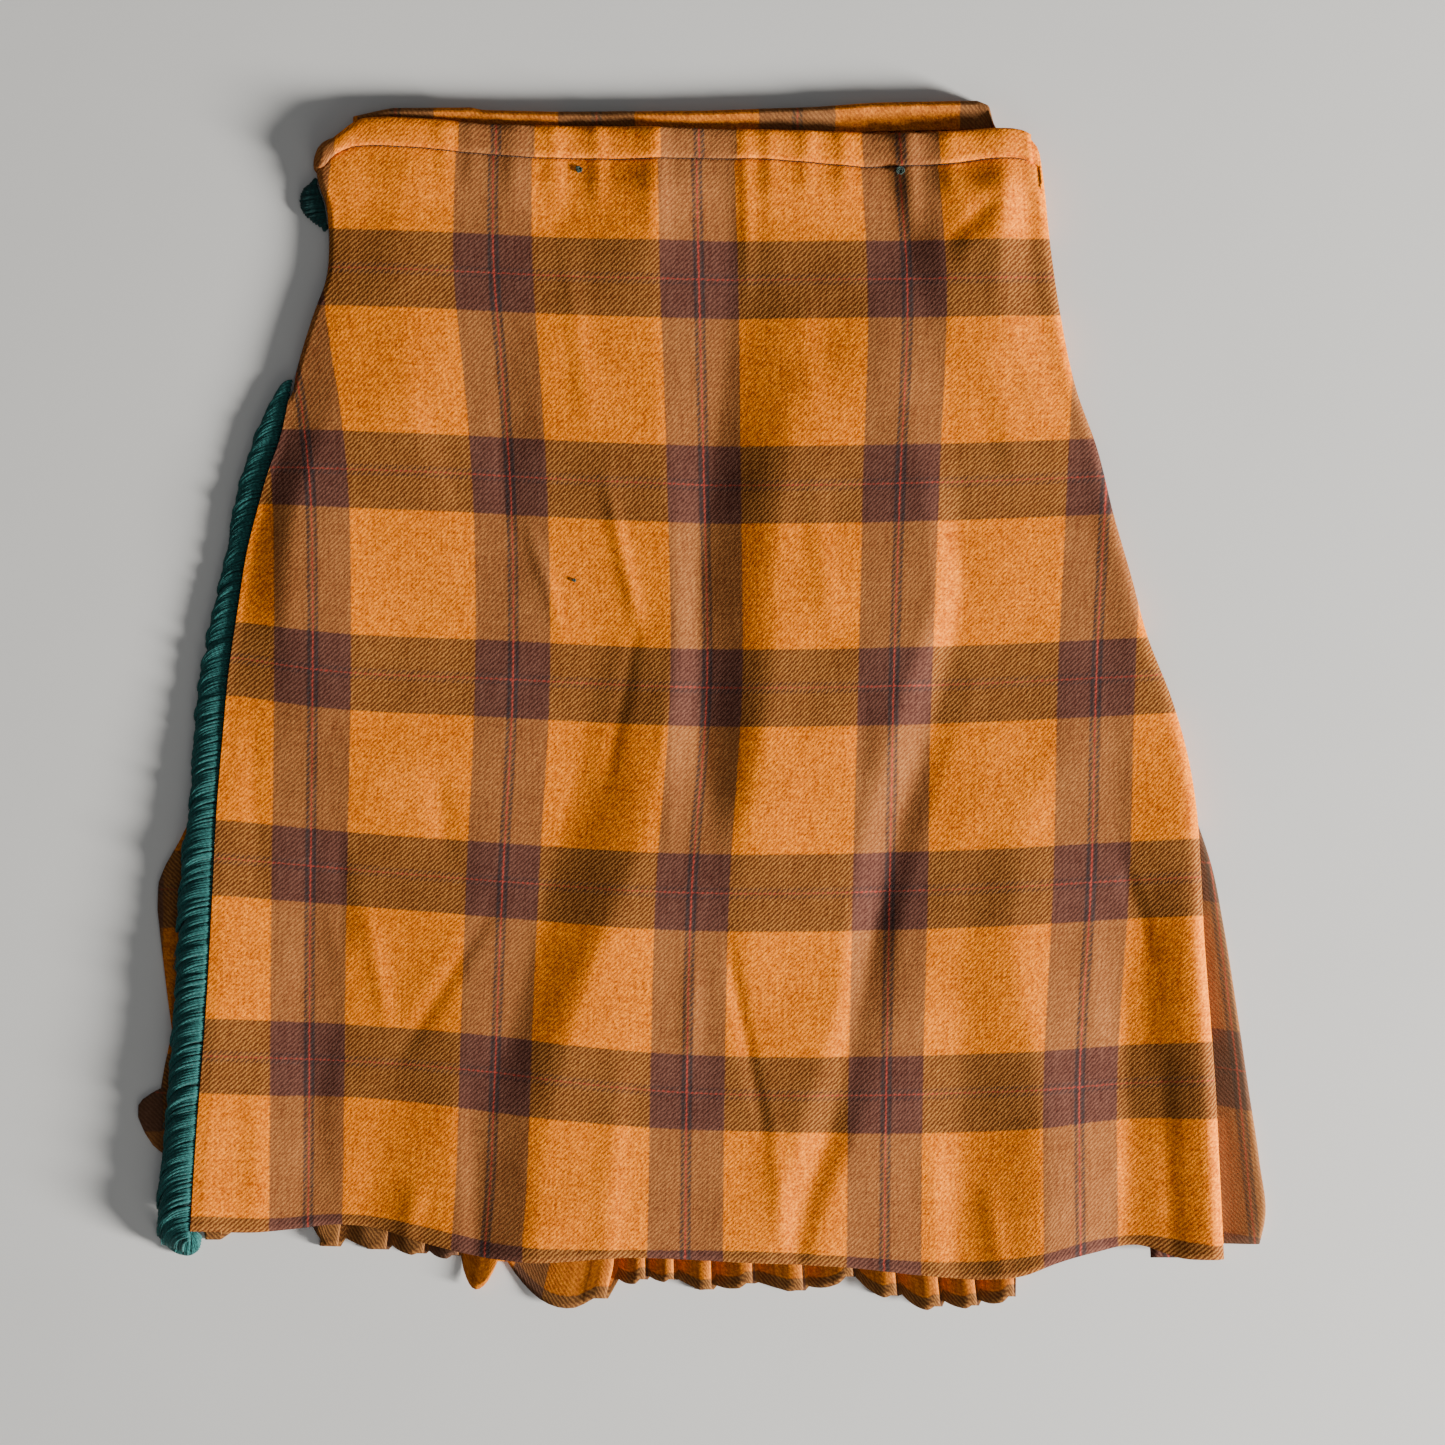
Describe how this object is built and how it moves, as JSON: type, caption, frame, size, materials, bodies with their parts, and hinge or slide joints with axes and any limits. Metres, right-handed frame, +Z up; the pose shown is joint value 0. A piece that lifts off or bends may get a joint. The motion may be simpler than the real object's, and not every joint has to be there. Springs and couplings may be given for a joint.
{
  "type": "kilt",
  "caption": "Knee-length tartan kilt lying flat and face up, with a flat fringed front apron lapped over the under apron, folded waistband strips and knife pleats behind.",
  "frame": {"origin": "on the surface that the kilt lies on, at the middle of its outline seen from above", "axes": "+Z up out of the front apron's face, +Y from the hem to the waist, +X to the right of the front as seen from above"},
  "size_m": [0.6131, 0.6567, 0.0111],
  "materials": {
    "pleated_back": "brown and ochre wool twill check",
    "back_waistband": "brown and ochre wool twill check",
    "first_side_pleat": "brown and ochre wool twill check",
    "deep_side_pleat": "brown and ochre wool twill check",
    "under_apron": "brown and ochre wool twill check",
    "front_apron": "brown and ochre wool twill check",
    "front_waistband": "brown and ochre wool twill check",
    "fringe": "twisted wool yarn, teal",
    "fringe_end": "twisted wool yarn, teal"
  },
  "bodies": {
    "root": {"pleated_back": "pleated_back", "back_waistband": "back_waistband", "first_side_pleat": "first_side_pleat", "deep_side_pleat": "deep_side_pleat", "under_apron": "under_apron", "front_apron": "front_apron", "front_waistband": "front_waistband", "fringe": "fringe", "fringe_end": "fringe_end"}
  },
  "joints": []
}
